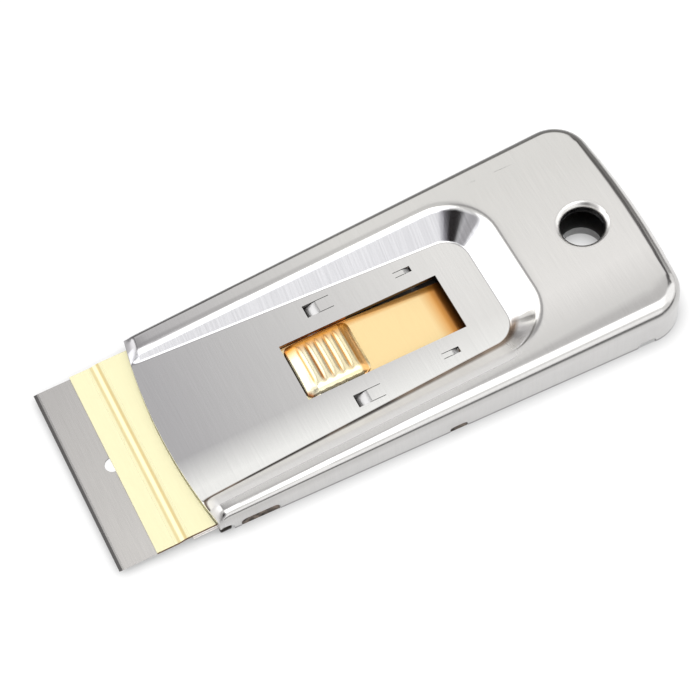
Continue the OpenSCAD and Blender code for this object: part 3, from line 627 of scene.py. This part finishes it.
def dressed_copy(node, piece_name, material, crease=30.0, edge=0.0, body="slide", cuts=(), shape=None,
                 slices=(), unbroken=None):
    """A merged, smooth-shaded copy of a solid that takes its place in the scene.

    Each of the cuts is a material and a test that picks its faces by place and normal. The shape
    gives each point of the copy, in millimetres, its new place. The slices are the places along
    the handle where long faces are cut across, for even shading. Unbroken is a test that picks the
    places where the surface runs on with no edge, so that slivers are closed up there.
    """
    bpy.ops.object.select_all(action="DESELECT")
    piece = bpy.data.objects.new(piece_name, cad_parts[node].data.copy())
    bpy.context.collection.objects.link(piece)
    piece.select_set(True)
    bpy.context.view_layer.objects.active = piece
    bpy.ops.object.mode_set(mode="EDIT")
    bpy.ops.mesh.select_all(action="SELECT")
    bpy.ops.mesh.remove_doubles(threshold=MERGE_GAP)
    bpy.ops.mesh.dissolve_degenerate(threshold=MERGE_GAP)
    bpy.ops.mesh.dissolve_limited(angle_limit=FLAT_ANGLE)
    for x in slices:
        bpy.ops.mesh.select_all(action="SELECT")
        bpy.ops.mesh.bisect(plane_co=(x * MM, 0, 0), plane_no=(1, 0, 0))
    bpy.ops.object.mode_set(mode="OBJECT")
    if unbroken:
        close_slivers(piece.data, unbroken)
    if shape:
        for point in piece.data.vertices:
            point.co = shape(point.co / MM) * MM
    if edge:
        bpy.ops.object.modifier_add(type="BEVEL")
        bevel = piece.modifiers[-1]
        bevel.width = edge
        bevel.segments = 2
        bevel.limit_method = "ANGLE"
        bevel.angle_limit = math.radians(crease)
        if unbroken:
            bevel.limit_method = "WEIGHT"
            weigh_edges(piece.data, math.radians(crease), unbroken)
        bpy.ops.object.modifier_apply(modifier=bevel.name)
    bpy.ops.object.shade_smooth_by_angle(angle=math.radians(crease))
    bpy.ops.object.modifier_add(type="WEIGHTED_NORMAL")
    weighted = piece.modifiers[-1]
    weighted.keep_sharp = True
    bpy.ops.object.modifier_apply(modifier=weighted.name)
    piece.data.materials.clear()
    piece.data.materials.append(material)
    for number, (cut_material, is_cut) in enumerate(cuts, start=1):
        piece.data.materials.append(cut_material)
        for face in piece.data.polygons:
            if is_cut(face.center / MM, face.normal):
                face.material_index = number
    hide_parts(node)
    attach(piece, body)
    return piece


def make_floor():
    """A plain white floor that keeps the soft shadow. Metal sees it grey behind the object."""
    bpy.ops.mesh.primitive_plane_add(size=FLOOR_SIZE, location=(0, 0, FLOOR_DROP))
    floor = bpy.context.active_object
    floor.name = "floor"
    material, tree, shader = new_material("white_floor")
    shader.inputs["Roughness"].default_value = 0.9
    shader.inputs["Specular IOR Level"].default_value = 0.0
    shader.inputs["Emission Color"].default_value = (1, 1, 1, 1)
    place = tree.nodes.new("ShaderNodeTexCoord")
    axes = tree.nodes.new("ShaderNodeSeparateXYZ")
    tree.links.new(place.outputs["Object"], axes.inputs["Vector"])
    paths = tree.nodes.new("ShaderNodeLightPath")
    behind = ranged(tree, axes.outputs["Y"], *FLOOR_BEHIND_SPAN, 0.0, 1.0)
    beyond = ranged(tree, axes.outputs["Y"], *FLOOR_BEYOND_SPAN, 1.0, 0.0)
    reflected = mixed(tree, behind, FLOOR_IN_FRONT, FLOOR_BEHIND)
    reflected = mixed(tree, beyond, reflected, FLOOR_BEYOND)
    colour = mixed(tree, paths.outputs["Is Glossy Ray"], FLOOR_WHITE, reflected)
    colour = mixed(tree, paths.outputs["Is Camera Ray"], colour, FLOOR_SEEN)
    tree.links.new(colour, shader.inputs["Base Color"])
    close = add_node(tree, "ShaderNodeAmbientOcclusion", Distance=CONTACT_REACH)
    glow = ranged(tree, close.outputs["AO"], *CONTACT_RANGE, FLOOR_SHADED, FLOOR_GLOW)
    through_hole = box_mask(tree, axes, UNDER_BLADE_HOLE, 0.3 * MM)
    glow = maths(tree, "ADD", glow, maths(tree, "MULTIPLY", through_hole, HOLE_GLOW))
    glow = maths(tree, "MULTIPLY", paths.outputs["Is Camera Ray"], glow)
    tree.links.new(glow, shader.inputs["Emission Strength"])
    floor.data.materials.append(material)


def make_world():
    """A white studio with two soft boxes and the grey gaps between them."""
    world = bpy.data.worlds.new("studio")
    bpy.context.scene.world = world
    world.use_nodes = True
    tree = world.node_tree
    back = tree.nodes["Background"]
    place = tree.nodes.new("ShaderNodeTexCoord")
    axes = tree.nodes.new("ShaderNodeSeparateXYZ")
    tree.links.new(place.outputs["Generated"], axes.inputs["Vector"])
    colour = STUDIO_WHITE
    for tint, soft, spans in STUDIO_PATCHES:
        colour = mixed(tree, box_mask(tree, axes, spans, soft), colour, tint)
    paths = tree.nodes.new("ShaderNodeLightPath")
    colour = mixed(tree, paths.outputs["Is Camera Ray"], colour, (1.0, 1.0, 1.0))
    tree.links.new(colour, back.inputs["Color"])


def make_lamp(name, place, target, size, watts):
    """A square soft lamp aimed at the object."""
    bpy.ops.object.light_add(type="AREA", location=place)
    lamp = bpy.context.active_object
    lamp.name = name
    lamp.data.size = size
    lamp.data.energy = watts
    lamp.rotation_mode = "QUATERNION"
    lamp.rotation_quaternion = (Vector(target) - Vector(place)).to_track_quat("-Z", "Y")


def in_window(place, normal):
    """The sheared walls of the window."""
    front, back = WINDOW_ENDS
    inside = abs(place.y) < WINDOW_HALF and front < place.x < back
    return inside and abs(normal.z) < 0.6 and place.z < SHEARED_TOP


def beside_pad(place, normal):
    """The part of the window's far wall beside the pad."""
    return in_window(place, normal) and place.y > 5 and place.x < PAD_END


def round_tabs(place, normal):
    """The sheared walls around the lanced tabs."""
    front, back = TAB_ENDS
    inner, outer = TAB_SIDES
    inside = inner < abs(place.y) < outer and front < place.x < back
    return inside and abs(normal.z) < 0.6 and place.z < SHEARED_TOP


def front_cut(place, normal):
    """The sheared front edge of the recess floor."""
    return normal.x < -0.6 and place.x < -34 and abs(place.y) < 15.5 and 3.2 < place.z < SHEARED_TOP


def side_cut(place, normal):
    """The sheared sides of the yellow strip."""
    return abs(normal.y) > 0.7


def spine_end(place, normal):
    """The ends of the folded spine, which take a pale painted sheen."""
    return abs(normal.y) > 0.7 and place.z > SPINE_FOOT + 0.1


def spine_reach(place):
    """Lets the ends of the spine stand out a little past the yellow strip."""
    if abs(place.y) < SPINE_HALF:
        return place
    return Vector((place.x, math.copysign(SPINE_SEEN_HALF, place.y), place.z))


def on_land(place):
    """The flat top, which meets the rolls of the rails and of the recess without an edge."""
    top = TOP_AT_0 + TOP_SLOPE * place.x
    inner, outer = LAND_SIDES
    return abs(place.z - top) < LAND_DEPTH and inner < abs(place.y) < outer


def eased(value, low, high):
    """0 below the low end and 1 above the high end, with an even curve between."""
    share = min(1, max(0, (value - low) / (high - low)))
    return share * share * (3 - 2 * share)


def ribs_fading(place):
    """Lets the grooves between the pad's ribs die out towards its sides."""
    along = place.x - PAD_FRONT - PAD_SLOPE
    if place.z < PAD_FOOT + 0.3 or not 0 < along < 5 * RIB_PITCH:
        return place
    groove = RIB_HEIGHT * (1 - abs(math.sin(math.pi * along / RIB_PITCH)))
    return place + Vector((0, 0, groove * eased(abs(place.y), *RIBS_FADE)))


def add_corner_ears(plate):
    """Adds the plate's corner ears, which show in the notches at the front of the skirt and take the
    plate's painted dark shade there.
    """
    for side in (-1, 1):
        bpy.ops.object.select_all(action="DESELECT")
        bpy.ops.mesh.primitive_cube_add(size=1)
        ear = bpy.context.active_object
        bpy.ops.object.mode_set(mode="EDIT")
        bpy.ops.transform.resize(value=CORNER_EAR_SIZE * MM)
        middle = Vector((CORNER_EAR_X, side * CORNER_EAR_Y, CORNER_EAR_Z))
        bpy.ops.transform.translate(value=middle * MM)
        bpy.ops.mesh.bevel(offset=CORNER_EAR_ROUND * MM, segments=3)
        bpy.ops.object.mode_set(mode="OBJECT")
        bpy.ops.object.shade_smooth_by_angle(angle=math.radians(30))
        ear.data.materials.append(plate_steel)
        plate.select_set(True)
        bpy.context.view_layer.objects.active = plate
        bpy.ops.object.join()


make_camera()
make_world()
make_floor()
make_lamp("top_lamp", LAMP_PLACE, (0, 0, 0), LAMP_SIZE, LAMP_WATTS)

BRUSHING = brushing_group()
shell_steel = shell_finish()
plate_steel = plate_finish()
gold_sheet = carrier_finish()
pad_gold = pad_finish()
blade_steel = blade_finish()
spine_steel = spine_finish()
# Painted shade on the window's walls
window_cut = sheared_metal("shaded_window_wall", WINDOW_SHADE)
# Painted shade and gold reflection on the window's far wall beside the pad
pad_side_shade = sheared_metal("window_wall_shade_by_pad", WINDOW_GOLD_SHADE)
tab_cut = sheared_metal("sheared_steel", TAB_EDGE)
bright_cut = sheared_metal("bright_sheared_steel", FRONT_EDGE, rough=(0.5, 0.6), depth=0.1)
# A painted sheen: the spine's ends are pale and barely metallic
pale_spine_end = sheared_metal("spine_end_sheen", SPINE_END, rough=(0.5, 0.6), depth=0.1, metallic=0.15)
cut_gold = sheared_metal("sheared_plating", CUT_GOLD)

dressed_copy("handle_shell", "stamped_shell", shell_steel, edge=SHARP_EDGE, body="handle",
             cuts=((window_cut, in_window), (pad_side_shade, beside_pad), (tab_cut, round_tabs),
                   (bright_cut, front_cut)), slices=SHELL_SLICES, unbroken=on_land)
closing_plate = dressed_copy("back_plate", "closing_plate", plate_steel, edge=SHARP_EDGE, body="handle")
add_corner_ears(closing_plate)
dressed_copy("blade_carrier", "plated_carrier", gold_sheet, edge=SHARP_EDGE,
             cuts=((cut_gold, side_cut),))
dressed_copy("thumb_pad", "ribbed_pad", pad_gold, crease=60.0, shape=ribs_fading)
dressed_copy("blade_clamp", "lower_leaf", plate_steel, edge=SHARP_EDGE)
dressed_copy("carrier_rivets", "leaf_rivets", plate_steel, edge=SHARP_EDGE)
dressed_copy("razor_blade", "ground_blade", blade_steel)
dressed_copy("blade_spine", "folded_spine", spine_steel, edge=SHARP_EDGE, cuts=((pale_spine_end, spine_end),),
             shape=spine_reach)

bpy.context.scene.view_settings.view_transform = "Standard"
